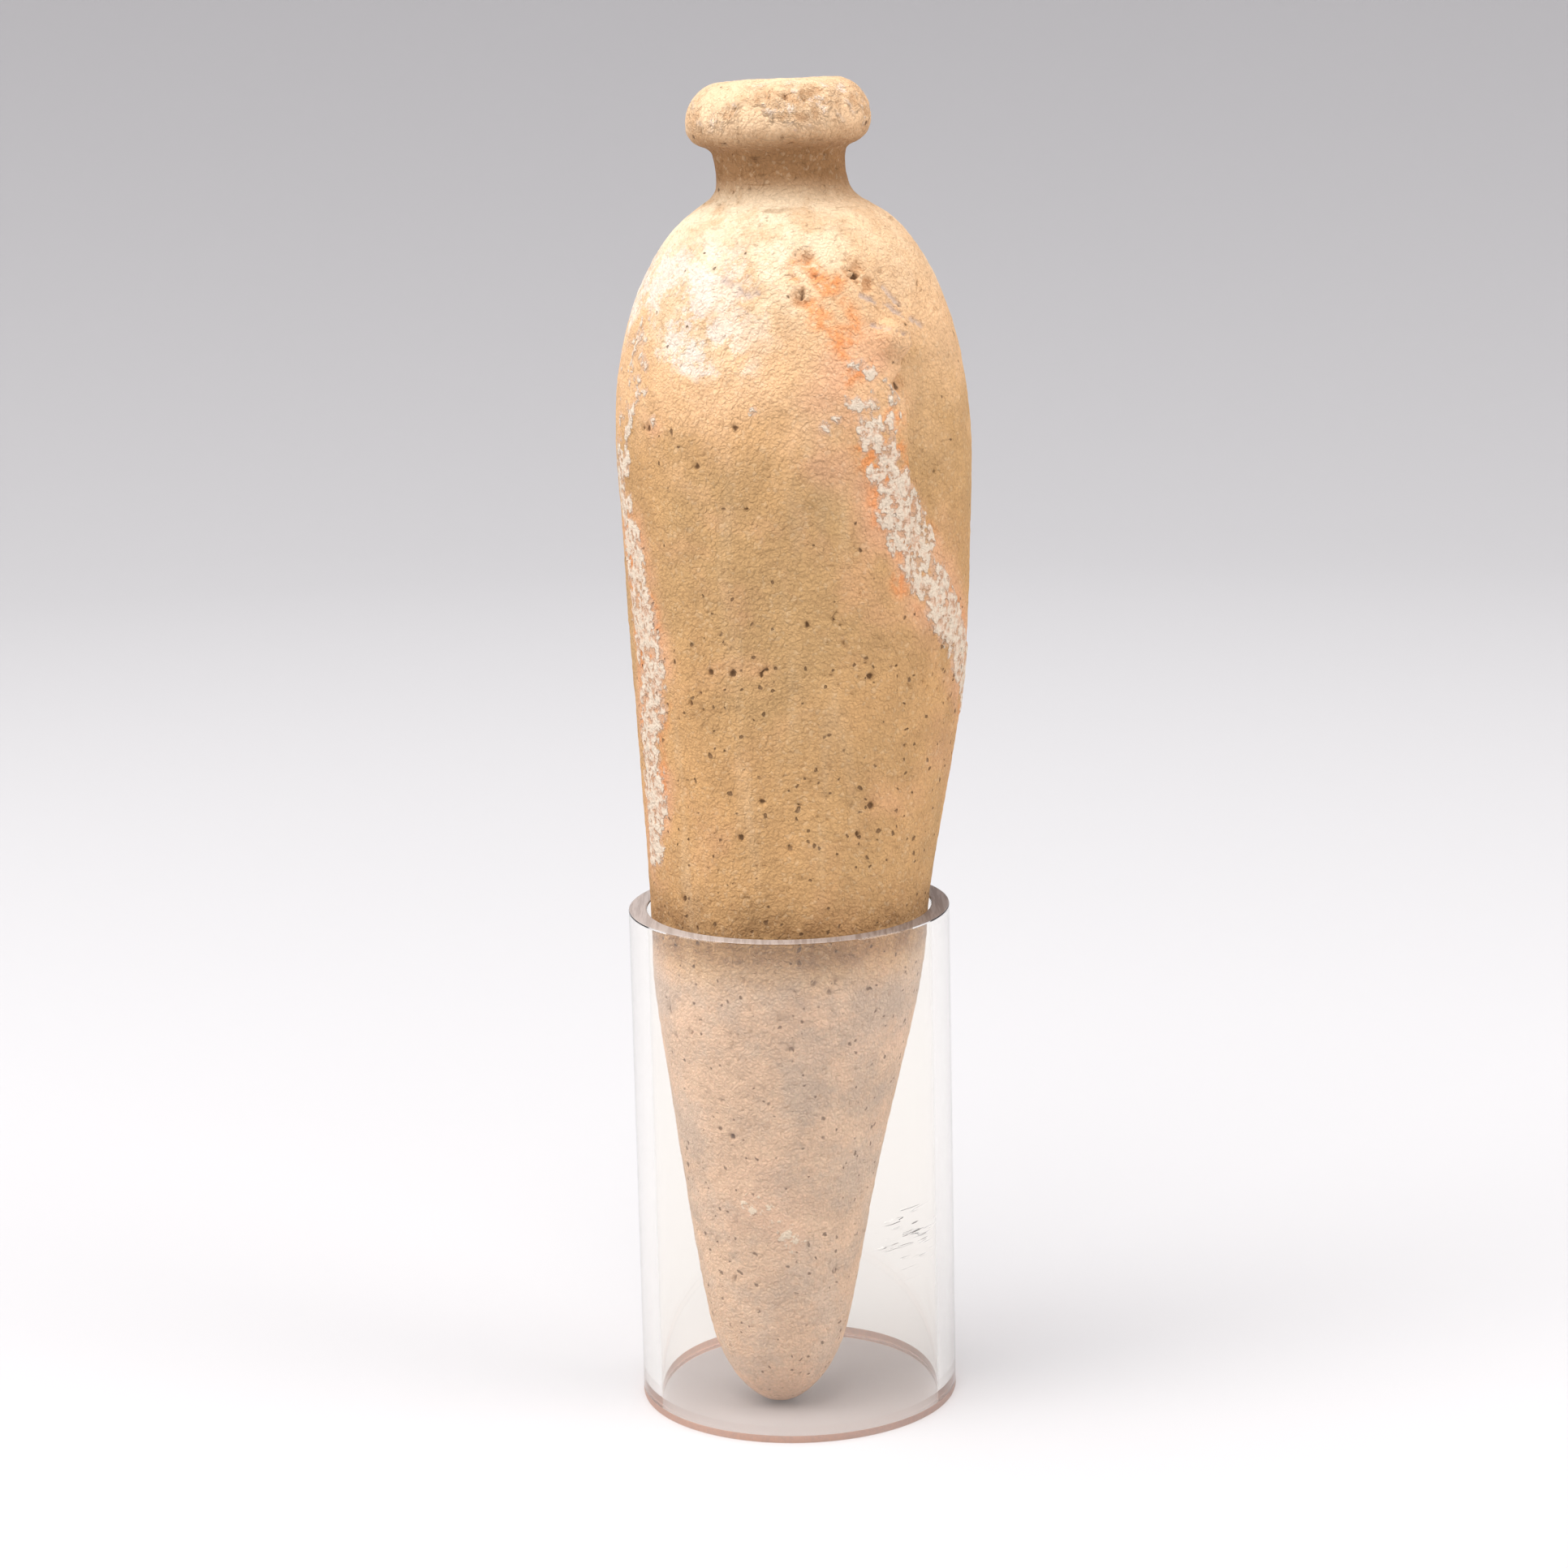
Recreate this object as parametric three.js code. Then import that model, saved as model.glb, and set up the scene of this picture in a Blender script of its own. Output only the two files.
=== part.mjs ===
// A crooked, wheel-thrown terracotta flask that stands toe down in a short length of clear tube.
// Millimetres, +Z up. The pair is drawn round the tube's axis, and is then centred on the floor as a whole.
import * as THREE from "three";

// The flask's outline: the height of each station above the one below it, and its radius there
const NOSE_LENGTH = 18;
const NOSE_RADIUS = 10.4;
const STEM_LENGTH = 38.5;
const STEM_RADIUS = 20.4;
const HIP_LENGTH = 25.5;
const HIP_RADIUS = 25.3;
const WAIST_LENGTH = 16;
const WAIST_RADIUS = 26.4;
const FLANK_LENGTH = 39;
const FLANK_RADIUS = 30.9;
const SIDE_LENGTH = 23;
const SIDE_RADIUS = 32.1;
const BELLY_LENGTH = 21.7;
const BELLY_RADIUS = 32.9;

// The domed shoulder, the short hollow neck and the rolled lip
const SHOULDER_RISE = 44.7;
const SHOULDER_CENTRE = 10;
const COLLAR_RADIUS = 14.5;
const NECK_FOOT = 4.6;
const NECK_RADIUS = 11.9;
const NECK_THROAT = 4.7;
const LIP_UNDERSIDE_RADIUS = 12.5;
const LIP_DROP = 4.4;
const LIP_RADIUS = 17.05;
const CROWN_HEIGHT = 7.8;
const CREST_RADIUS = 10;

// The flask's inside: an even wall, a round bore through neck and lip, and solid clay in the toe
const WALL = 6;
const MOUTH_RADIUS = 6.5;
const MOUTH_ROUNDING = 4;
const TOE_SOLID = 18;
const FLOOR_ROUNDING = 7;
const THROAT_ROUNDING = 6;

// The lip was set on askew: its right side stands higher
const LIP_TILT = 1.6;

// The stand: a sawn length of clear tube, whose bore just takes the flask's girth at the tube's mouth
const TUBE_HEIGHT = 95.4;
const TUBE_WALL = 3.4;
const SEAT_CLEARANCE = 0.3;
const TOE_CLEARANCE = 0.3;

// The flask's axis wanders: share of the flask's height, then sideways and backwards from the tube's axis
const AXIS = [
  [0, -3.6, -7.7],
  [0.16, -2.9, -4.2],
  [0.33, -0.5, -0.5],
  [0.4, 0.3, 0.2],
  [0.56, 2.8, 3],
  [0.74, 2.8, 3.5],
  [0.82, 2.4, 3.5],
  [0.905, 2.5, 3.5],
  [0.94, 1.4, 3.3],
  [1, 1.3, 3.3],
];

// Shallow dents pressed in before firing: direction in degrees from +X, share of the flask's height,
// half width and half length, and depth
const DENTS = [
  { direction: -44, share: 0.755, width: 9, length: 24, depth: 0.8 },
  { direction: -28, share: 0.63, width: 7, length: 18, depth: 0.6 },
  { direction: -150, share: 0.48, width: 10, length: 30, depth: 0.5 },
  { direction: 75, share: 0.66, width: 14, length: 34, depth: 0.7 },
];

// How finely the round shapes are drawn
const FLASK_SIDES = 48;
const TUBE_SIDES = 72;
const STEPS_PER_STATION = 3;
const ARC_STEPS = 3;
const AXIS_STEPS = 160;

const stemHeight = NOSE_LENGTH + STEM_LENGTH;
const hipHeight = stemHeight + HIP_LENGTH;
const waistHeight = hipHeight + WAIST_LENGTH;
const flankHeight = waistHeight + FLANK_LENGTH;
const sideHeight = flankHeight + SIDE_LENGTH;
const bellyHeight = sideHeight + BELLY_LENGTH;
const shoulderWidth = BELLY_RADIUS - SHOULDER_CENTRE;
const collarTurn = Math.acos((COLLAR_RADIUS - SHOULDER_CENTRE) / shoulderWidth) / (Math.PI / 2);
const collarHeight = bellyHeight + SHOULDER_RISE * Math.sin((collarTurn * Math.PI) / 2);
const neckHeight = collarHeight + NECK_FOOT;
const undersideHeight = neckHeight + NECK_THROAT;
const lipHeight = undersideHeight + LIP_DROP;
const crestHeight = lipHeight + CROWN_HEIGHT;
const stemTaper = (STEM_RADIUS - NOSE_RADIUS) / stemHeight;

// Points of a quarter of an ellipse round a centre, from one angle in quarter turns to another
function arc(centreRadius, centreHeight, across, up, from, to, steps) {
  const points = [];
  for (let i = 0; i <= steps; i++) {
    const turn = ((from + ((to - from) * i) / steps) * Math.PI) / 2;
    const radius = centreRadius + across * Math.cos(turn);
    points.push(new THREE.Vector2(radius, centreHeight + up * Math.sin(turn)));
  }
  return points;
}

// A smooth line through [radius, height] stations
function smoothLine(stations) {
  const knots = stations.map(([radius, height]) => new THREE.Vector3(radius, height, 0));
  const curve = new THREE.CatmullRomCurve3(knots, false, "centripetal");
  const steps = STEPS_PER_STATION * (stations.length - 1);
  const line = [];
  for (let i = 0; i <= steps; i++) {
    const point = curve.getPoint(i / steps);
    line.push(new THREE.Vector2(point.x, point.y));
  }
  return line;
}

// The same line one wall further in
function insetLine(line, wall) {
  return line.slice(1, -1).map((point, i) => {
    const along = line[i + 2].clone().sub(line[i]).normalize();
    return new THREE.Vector2(point.x - along.y * wall, point.y + along.x * wall);
  });
}

// The toe's blunt nose is a quarter ellipse that also widens with the stem's taper
function noseLine() {
  const line = arc(0, NOSE_LENGTH, NOSE_RADIUS, NOSE_LENGTH, -1, 0, 2 * ARC_STEPS);
  line[0].x = 0;
  return line.map((point) => new THREE.Vector2(point.x + stemTaper * point.y, point.y));
}

// The long body from the top of the nose to the collar at the foot of the neck
function bodyLine() {
  const side = smoothLine([
    [NOSE_RADIUS + stemTaper * NOSE_LENGTH, NOSE_LENGTH],
    [STEM_RADIUS, stemHeight],
    [HIP_RADIUS, hipHeight],
    [WAIST_RADIUS, waistHeight],
    [FLANK_RADIUS, flankHeight],
    [SIDE_RADIUS, sideHeight],
    [BELLY_RADIUS, bellyHeight],
  ]);
  const steps = 2 * ARC_STEPS;
  const shoulder = arc(SHOULDER_CENTRE, bellyHeight, shoulderWidth, SHOULDER_RISE, 0, collarTurn, steps);
  return [...side, ...shoulder.slice(1)];
}

// The hollow neck and the rolled lip, from the collar to the top of the bore
function neckAndLipLine() {
  const footWidth = COLLAR_RADIUS - NECK_RADIUS;
  const throatWidth = LIP_UNDERSIDE_RADIUS - NECK_RADIUS;
  const rollWidth = LIP_RADIUS - LIP_UNDERSIDE_RADIUS;
  const crownWidth = LIP_RADIUS - CREST_RADIUS;
  const mouthWidth = CREST_RADIUS - MOUTH_RADIUS;
  const mouthHeight = crestHeight - MOUTH_ROUNDING;
  return [
    ...arc(COLLAR_RADIUS, neckHeight, footWidth, NECK_FOOT, -1, -2, ARC_STEPS).slice(1),
    ...arc(LIP_UNDERSIDE_RADIUS, neckHeight, throatWidth, NECK_THROAT, 2, 1, ARC_STEPS).slice(1),
    ...arc(LIP_UNDERSIDE_RADIUS, lipHeight, rollWidth, LIP_DROP, -1, 0, ARC_STEPS).slice(1),
    ...arc(CREST_RADIUS, lipHeight, crownWidth, CROWN_HEIGHT, 0, 1, 2 * ARC_STEPS).slice(1),
    ...arc(CREST_RADIUS, mouthHeight, mouthWidth, MOUTH_ROUNDING, 1, 2, ARC_STEPS).slice(1),
  ];
}

// The hollow inside, from the foot of the bore down to the cavity's rounded floor
function cavityLine(body) {
  const wallLine = insetLine(body, WALL).filter((point) => point.y > TOE_SOLID + FLOOR_ROUNDING);
  const top = wallLine.at(-1);
  const bottom = wallLine[0];
  const throatWidth = top.x - MOUTH_RADIUS;
  const throat = arc(top.x, top.y + THROAT_ROUNDING, throatWidth, THROAT_ROUNDING, -2, -1, ARC_STEPS);
  const floor = arc(0, bottom.y, bottom.x, bottom.y - TOE_SOLID, 0, -1, 2 * ARC_STEPS);
  floor.at(-1).x = 0;
  return [...throat, ...wallLine.reverse().slice(1), ...floor.slice(1)];
}

// The flask's closed outline, from the toe's tip up the outside, over the lip and down to the cavity's floor
function flaskOutline() {
  const body = bodyLine();
  return [...noseLine(), ...body.slice(1), ...neckAndLipLine(), ...cavityLine(body)];
}

// How far the wall is pressed in at a point round the flask
function dentAt(direction, height, radius) {
  let depth = 0;
  for (const dent of DENTS) {
    const turn = THREE.MathUtils.degToRad(dent.direction) - direction;
    const across = (Math.atan2(Math.sin(turn), Math.cos(turn)) * radius) / dent.width;
    const along = (height - dent.share * crestHeight) / dent.length;
    depth += dent.depth * Math.exp(-across * across - along * along);
  }
  return depth;
}

// Where the wandering axis is at a height
function axisCurve() {
  const knots = AXIS.map(([share, x, y]) => new THREE.Vector3(x, y, share * crestHeight));
  const curve = new THREE.CatmullRomCurve3(knots, false, "centripetal");
  const samples = curve.getPoints(AXIS_STEPS);
  return (height) => {
    const above = samples.findIndex((point) => point.z >= height);
    if (above < 1) {
      return samples.at(above);
    }
    const below = samples[above - 1];
    const share = (height - below.z) / (samples[above].z - below.z);
    return below.clone().lerp(samples[above], share);
  };
}

// The flask stands with its toe just clear of the floor
function flaskGeometry() {
  const geometry = new THREE.LatheGeometry(flaskOutline(), FLASK_SIDES).rotateX(Math.PI / 2);
  const vertices = geometry.getAttribute("position");
  const axisAt = axisCurve();
  const tilt = Math.tan(THREE.MathUtils.degToRad(LIP_TILT));
  for (let i = 0; i < vertices.count; i++) {
    const x = vertices.getX(i);
    const y = vertices.getY(i);
    const z = vertices.getZ(i);
    const radius = Math.hypot(x, y);
    const direction = Math.atan2(y, x);
    const pressed = radius > 0 ? 1 - Math.min(dentAt(direction, z, radius) / radius, 1) : 1;
    const askew = tilt * THREE.MathUtils.smoothstep(z, neckHeight, lipHeight);
    const axis = axisAt(z);
    vertices.setXYZ(i, x * pressed + axis.x, y * pressed + axis.y, z + x * askew + TOE_CLEARANCE);
  }
  geometry.computeVertexNormals();
  return geometry;
}

// The furthest that a shape reaches from the upright axis, at or below a height
function reachBelow(geometry, height) {
  const faces = geometry.toNonIndexed().getAttribute("position");
  let reach = 0;
  for (let i = 0; i < faces.count; i++) {
    const next = i % 3 === 2 ? i - 2 : i + 1;
    const start = new THREE.Vector3().fromBufferAttribute(faces, i);
    const end = new THREE.Vector3().fromBufferAttribute(faces, next);
    const [low, high] = start.z < end.z ? [start, end] : [end, start];
    if (low.z > height) {
      continue;
    }
    const share = high.z > height ? (height - low.z) / (high.z - low.z) : 1;
    const top = low.clone().lerp(high, share);
    reach = Math.max(reach, Math.hypot(low.x, low.y), Math.hypot(top.x, top.y));
  }
  return reach;
}

// A straight length of tube standing on the floor
function tubeGeometry(boreRadius, wall, height) {
  const outline = [
    new THREE.Vector2(boreRadius, 0),
    new THREE.Vector2(boreRadius + wall, 0),
    new THREE.Vector2(boreRadius + wall, height),
    new THREE.Vector2(boreRadius, height),
    new THREE.Vector2(boreRadius, 0),
  ];
  return new THREE.LatheGeometry(outline, TUBE_SIDES).rotateX(Math.PI / 2);
}

const terracotta = new THREE.MeshStandardMaterial({ color: 0xcda46e, roughness: 0.9, metalness: 0 });
const clearAcrylic = new THREE.MeshStandardMaterial({
  color: 0xf1eae6,
  roughness: 0.05,
  metalness: 0,
  transparent: true,
  opacity: 0.3,
});

const flask = new THREE.Mesh(flaskGeometry(), terracotta);
flask.name = "unguentarium";

// The flat sides of a drawn circle lie inside it, so the bore is opened by as much
const chordRoom = 1 / Math.cos(Math.PI / TUBE_SIDES);
const boreRadius = (reachBelow(flask.geometry, TUBE_HEIGHT) + SEAT_CLEARANCE) * chordRoom;
const stand = new THREE.Mesh(tubeGeometry(boreRadius, TUBE_WALL, TUBE_HEIGHT), clearAcrylic);
stand.name = "stand_tube";

const pair = new THREE.Group();
pair.add(flask, stand);
const middle = new THREE.Box3().setFromObject(pair, true).getCenter(new THREE.Vector3());
pair.position.set(-middle.x, -middle.y, 0);

const object = new THREE.Group();
object.add(pair);

export default object;
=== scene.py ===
# %% [markdown]
# # A terracotta unguentarium on its clear tube stand
# An unguentarium is a small flask for scented oil, thrown on a wheel and fired without a glaze. This one is
# long, crooked and pointed, so it stands toe down in a short sawn length of clear tube.
# The solid model gives both pieces at their real size. This lesson gives them their looks: worn and pitted
# clay with lime on it, and tube that you can see through.
# All sizes are in metres.

# %% Load the solid model
import math

import bpy
import numpy as np
from mathutils import Matrix, Vector, noise


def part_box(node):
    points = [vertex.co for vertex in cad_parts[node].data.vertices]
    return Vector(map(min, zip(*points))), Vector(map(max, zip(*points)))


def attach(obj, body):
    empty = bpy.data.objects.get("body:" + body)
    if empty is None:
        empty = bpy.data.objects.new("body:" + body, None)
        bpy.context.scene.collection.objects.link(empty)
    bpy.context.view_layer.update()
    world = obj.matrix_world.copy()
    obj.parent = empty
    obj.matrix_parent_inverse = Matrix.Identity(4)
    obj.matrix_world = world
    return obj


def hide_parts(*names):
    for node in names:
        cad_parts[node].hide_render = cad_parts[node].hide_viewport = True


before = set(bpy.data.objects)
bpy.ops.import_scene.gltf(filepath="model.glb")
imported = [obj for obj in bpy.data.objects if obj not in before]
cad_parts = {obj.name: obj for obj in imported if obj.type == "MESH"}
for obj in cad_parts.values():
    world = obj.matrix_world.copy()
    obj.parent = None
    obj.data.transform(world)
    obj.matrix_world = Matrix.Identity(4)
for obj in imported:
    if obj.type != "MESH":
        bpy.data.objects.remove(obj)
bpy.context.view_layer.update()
MM = 0.001
BODY = "root"

# %% [markdown]
# The photograph was taken from a little above and with a long lens, about 65 cm away. The camera's place was
# worked out from the tube: its two rims show as ellipses, and how round they are gives the viewing angle.
# We keep those few measures as named values, and measure them from the tube's own middle. The same cell reads
# the tube's outer and inner radius from its mesh, because the paper and the tube itself need them later.

# %% Place the camera
TUBE_NODE = "stand_tube"
CAMERA_DISTANCE = 653.1 * MM
CAMERA_HEIGHT = 258 * MM
CAMERA_PITCH = math.radians(12.07)
CAMERA_ROLL = math.radians(-1.32)
CAMERA_LENS = 82.33
SENSOR_WIDTH = 36
CAMERA_SHIFT = -0.0014

tube_low, tube_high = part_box(TUBE_NODE)
tube_axis = Vector(((tube_low.x + tube_high.x) / 2, (tube_low.y + tube_high.y) / 2, 0))
tube_points = [v.co - tube_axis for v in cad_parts[TUBE_NODE].data.vertices]
tube_inside = min(math.hypot(p.x, p.y) for p in tube_points)
tube_radius = (tube_high.x - tube_low.x) / 2

lens = bpy.data.cameras.new("camera")
lens.lens = CAMERA_LENS
lens.sensor_width = SENSOR_WIDTH
lens.shift_x = CAMERA_SHIFT
camera = bpy.data.objects.new("camera", lens)
bpy.context.scene.collection.objects.link(camera)
look_down = Matrix.Rotation(math.pi / 2 - CAMERA_PITCH, 4, "X")
camera.matrix_world = (
    Matrix.Translation(tube_axis + Vector((0, -CAMERA_DISTANCE, CAMERA_HEIGHT)))
    @ look_down
    @ Matrix.Rotation(CAMERA_ROLL, 4, "Z")
)
bpy.context.scene.camera = camera
print("camera at", tuple(round(v, 3) for v in camera.location), "bore", round(2 * tube_inside / MM, 2), "mm")

# %% [markdown]
# Materials are made of nodes. Typing each node out in full would bury the idea, so these small helpers make
# a node, set its plain values and join up what comes from other nodes. The first few deal in plain numbers:
# cloudy noise, a smooth ramp and a sum.

# %% Helpers for nodes that give a number
def add_node(tree, kind, inputs=None, **settings):
    """Adds a shader node. An input may be a plain value or another node's output."""
    node = tree.nodes.new("ShaderNode" + kind)
    for name, value in settings.items():
        setattr(node, name, value)
    for name, value in (inputs or {}).items():
        if isinstance(value, bpy.types.NodeSocket):
            tree.links.new(value, node.inputs[name])
        else:
            node.inputs[name].default_value = value
    return node


def noise_value(tree, place, grain, detail=3.0, roughness=0.55, distortion=0.0):
    """Cloudy noise whose lumps are about `grain` metres across."""
    inputs = {"Vector": place, "Scale": 0.6 / grain, "Detail": detail}
    inputs.update({"Roughness": roughness, "Distortion": distortion})
    return add_node(tree, "TexNoise", inputs).outputs["Fac"]


def ramp(tree, value, low, high, bottom=0.0, top=1.0):
    """Goes smoothly from bottom to top while value goes from low to high."""
    inputs = {"Value": value, "From Min": low, "From Max": high, "To Min": bottom, "To Max": top}
    return add_node(tree, "MapRange", inputs, interpolation_type="SMOOTHSTEP").outputs["Result"]


def maths(tree, operation, a, b=0.0):
    """One sum of two values."""
    node = add_node(tree, "Math", {0: a, 1: b}, operation=operation)
    return node.outputs["Value"]


# %% [markdown]
# The next helpers deal in colours and materials. A mask that was painted on the mesh comes in through an
# Attribute node, and each new material starts empty, with its output node alone.

# %% Helpers for colours and materials
def mix_colour(tree, share, a, b, blend="MIX"):
    """Mixes colour b over colour a."""
    inputs = {0: share, 6: a, 7: b}
    return add_node(tree, "Mix", inputs, data_type="RGBA", blend_type=blend).outputs[2]


def painted(tree, name):
    """A mask that was painted on the mesh."""
    return add_node(tree, "Attribute", attribute_name=name).outputs["Fac"]


def new_material(name):
    """An empty material with its output node."""
    material = bpy.data.materials.new(name)
    material.use_nodes = True
    tree = material.node_tree
    tree.nodes.clear()
    output = tree.nodes.new("ShaderNodeOutputMaterial")
    return material, tree, output


# %% [markdown]
# Blender's operators act on whatever is selected, so a piece is always selected alone before one is used. The
# Spin operator turns a line of points round an upright axis, as a wheel turns clay. Remove Doubles then joins
# the seam where the turn closes.

# %% Helpers that select and spin
def deselect_all():
    """Leaves nothing selected, so that the next operator acts on its own piece alone."""
    for item in bpy.context.selected_objects:
        item.select_set(False)


def make_active(piece):
    """Selects one piece alone."""
    deselect_all()
    bpy.context.view_layer.objects.active = piece
    piece.select_set(True)


def spin_profile(name, points, sides):
    """Turns a line of (radius, height) points round the tube's axis."""
    deselect_all()
    mesh = bpy.data.meshes.new(name)
    mesh.from_pydata([(r, 0, z) for r, z in points], [(i, i + 1) for i in range(len(points) - 1)], [])
    piece = bpy.data.objects.new(name, mesh)
    bpy.context.scene.collection.objects.link(piece)
    make_active(piece)
    bpy.ops.object.mode_set(mode="EDIT")
    bpy.ops.mesh.select_all(action="SELECT")
    bpy.ops.mesh.spin(steps=sides, angle=2 * math.pi, center=(0, 0, 0), axis=(0, 0, 1))
    bpy.ops.mesh.remove_doubles(threshold=0.01 * MM)
    bpy.ops.mesh.normals_make_consistent(inside=True)
    bpy.ops.object.mode_set(mode="OBJECT")
    bpy.ops.object.shade_smooth()
    return piece


# %% [markdown]
# The object stands on pale paper that curves up behind it. A real studio uses one long sheet. We turn a
# profile round instead, like a very wide bowl, so that the view from every side has the same quiet ground,
# and so that the clear tube has something pale to mirror. It isn't part of the object.

# %% Spin the studio floor and wall
FLOOR_RINGS = (0, 0.4, 0.8)
FLOOR_RADIUS = 1.05
SWEEP_RADIUS = 1.3
WALL_TOP = 2.1
SWEEP_STEPS = 24
FLOOR_GAP = 0.05 * MM
FLOOR_SIDES = 96

sweep = [
    (FLOOR_RADIUS + SWEEP_RADIUS * math.sin(turn), SWEEP_RADIUS * (1 - math.cos(turn)))
    for turn in np.linspace(0, math.pi / 2, SWEEP_STEPS)
]
flat = [(radius, 0) for radius in FLOOR_RINGS]
floor = spin_profile("floor", [*flat, *sweep, (sweep[-1][0], WALL_TOP)], FLOOR_SIDES)
floor.data.transform(Matrix.Translation((0, 0, -FLOOR_GAP)))
print("floor:", len(floor.data.polygons), "faces")

# %% [markdown]
# The paper is white near the object and is painted a cool grey far behind it: painted shade, for the light
# that runs out. The change of colour follows the distance from the middle, so it looks the same from all
# sides. The paper that the tube stands over is painted darker, as painted shade: the light that reaches it
# has come through the tube's wall.

# %% Paint the studio paper
FALLOFF_START = 0.5
FALLOFF_END = 2.8
PAPER_NEAR = (0.645, 0.63, 0.628, 1)
PAPER_FAR = (0.335, 0.322, 0.328, 1)
BORE_SHADE = (0.67, 0.63, 0.63, 1)

paper, tree, output = new_material("studio paper")
place = add_node(tree, "TexCoord").outputs["Object"]
distance = add_node(tree, "VectorMath", {0: place}, operation="LENGTH").outputs["Value"]
# painted shade: the paper's colour darkens with distance from the middle
falloff = ramp(tree, distance, FALLOFF_START, FALLOFF_END)
colour = mix_colour(tree, falloff, PAPER_NEAR, PAPER_FAR)
# painted shade: the paper under the tube is multiplied by a darker tone
from_tube = add_node(tree, "VectorMath", {0: place, 1: tube_axis}, operation="DISTANCE").outputs["Value"]
in_bore = ramp(tree, from_tube, tube_radius, tube_radius - 1 * MM)
colour = mix_colour(tree, in_bore, colour, BORE_SHADE, "MULTIPLY")
shader = add_node(tree, "BsdfPrincipled", {"Base Color": colour, "Roughness": 0.9})
tree.links.new(shader.outputs["BSDF"], output.inputs["Surface"])
floor.data.materials.append(paper)
print("paper:", len(tree.nodes), "nodes")

# %% [markdown]
# The shadow lies to the right of the tube and is very soft, so the main light is a broad disc, high up on the
# left and in front. Two weak panels at the sides keep both edges of the flask open and give the tube
# something to mirror. The pale sky of the world fills the rest. The Standard view keeps colours as plain as
# the photograph's.

# %% Light the scene
LIGHTS = {
    "key light": {"place": (-0.5, -0.62, 2.1), "size": 2.1, "power": 34.5},
    "left panel": {"place": (-0.95, -0.35, 0.62), "size": 0.7, "power": 4.6},
    "right panel": {"place": (0.95, -0.35, 0.62), "size": 0.7, "power": 5.0},
}
LIGHT_AIM = Vector((0, 0, 0.14))
SKY_COLOUR = (0.95, 0.96, 1.0, 1)
SKY_STRENGTH = 1.13

for name, values in LIGHTS.items():
    lamp = bpy.data.lights.new(name, "AREA")
    lamp.shape = "DISK"
    lamp.size = values["size"]
    lamp.energy = values["power"]
    light = bpy.data.objects.new(name, lamp)
    bpy.context.scene.collection.objects.link(light)
    light.location = values["place"]
    light.rotation_euler = (light.location - LIGHT_AIM).to_track_quat("Z", "Y").to_euler()
    light.visible_camera = False

world = bpy.data.worlds.new("studio")
world.use_nodes = True
world.node_tree.nodes["Background"].inputs["Color"].default_value = SKY_COLOUR
world.node_tree.nodes["Background"].inputs["Strength"].default_value = SKY_STRENGTH
bpy.context.scene.world = world
bpy.context.scene.view_settings.view_transform = "Standard"
print("lights:", ", ".join(LIGHTS))

# %% [markdown]
# ## The flask
# The solid model draws the flask with flat faces. The real one was turned by hand and is smooth, apart from
# the wear. We copy the solid's mesh, merge its loose triangles, turn them into quads and round them with a
# Subdivision Surface. A Remesh then gives small even faces all over, which wear needs: a chip or a crust can
# only be as fine as the faces that carry it.

# %% Round the flask and give it small even faces
FLASK_NODE = "unguentarium"
FINE_FACE = 0.6 * MM


def apply_modifier(piece, kind, **settings):
    """Adds a modifier, sets it and applies it."""
    make_active(piece)
    modifier = piece.modifiers.new(kind.lower(), kind)
    for name, value in settings.items():
        setattr(modifier, name, value)
    bpy.ops.object.modifier_apply(modifier=modifier.name)


deselect_all()
flask = bpy.data.objects.new("flask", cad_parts[FLASK_NODE].data.copy())
bpy.context.scene.collection.objects.link(flask)
make_active(flask)
bpy.ops.object.mode_set(mode="EDIT")
bpy.ops.mesh.select_all(action="SELECT")
bpy.ops.mesh.remove_doubles(threshold=0.01 * MM)
bpy.ops.mesh.tris_convert_to_quads(face_threshold=math.radians(60), shape_threshold=math.radians(60))
bpy.ops.object.mode_set(mode="OBJECT")
apply_modifier(flask, "SUBSURF", levels=2, render_levels=2)
apply_modifier(flask, "REMESH", mode="VOXEL", voxel_size=FINE_FACE, use_smooth_shade=True)
print("flask:", len(flask.data.vertices), "points after the remesh")

# %% [markdown]
# Wear is painted before it is shaped, as a mask for each kind. A mask is a number from 0 to 1 at each point
# of the mesh. The same mask then does two jobs: as a vertex group it tells a Displace modifier how far to
# press the clay in or raise it, and as an attribute it tells the material where to change colour, so relief
# and colour always agree. Places are given as a clockface angle round the flask, 0 towards the camera and
# 90 to its right, and a height in millimetres.

# %% Measure where each point of the flask lies
SOLID_TOE = 12
NECK_START = 226

points = np.zeros(len(flask.data.vertices) * 3)
flask.data.vertices.foreach_get("co", points)
points = points.reshape(-1, 3)
normals = np.zeros(len(flask.data.vertices) * 3)
flask.data.vertices.foreach_get("normal", normals)
normals = normals.reshape(-1, 3)
angles = np.degrees(np.arctan2(points[:, 0], -points[:, 1]))
heights = points[:, 2] / MM
outward = normals[:, 0] * points[:, 0] + normals[:, 1] * points[:, 1]
outside = np.where((outward > 0) | (heights < SOLID_TOE) | (heights > NECK_START), 1.0, 0.0)
print("outer wall:", int(outside.sum()), "of", len(points), "points")

# %% [markdown]
# A place on the wall is found by shooting a ray at the flask from far outside. Noise comes from a function of
# the point's place, so it is the same in every run.

# %% Helpers that find a place and make noise
def on_wall(angle, height):
    """The point of the outer wall at an angle and a height."""
    turn = math.radians(angle)
    out = Vector((math.sin(turn), -math.cos(turn), 0))
    start = Vector((0, 0, height * MM)) + out * 0.1
    hit, place, _, _ = flask.ray_cast(start, -out)
    return np.array(place if hit else start)


def smooth(value, low, high):
    """Goes smoothly from 0 to 1 while value goes from low to high."""
    share = np.clip((value - low) / (high - low), 0, 1)
    return share * share * (3 - 2 * share)


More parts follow.
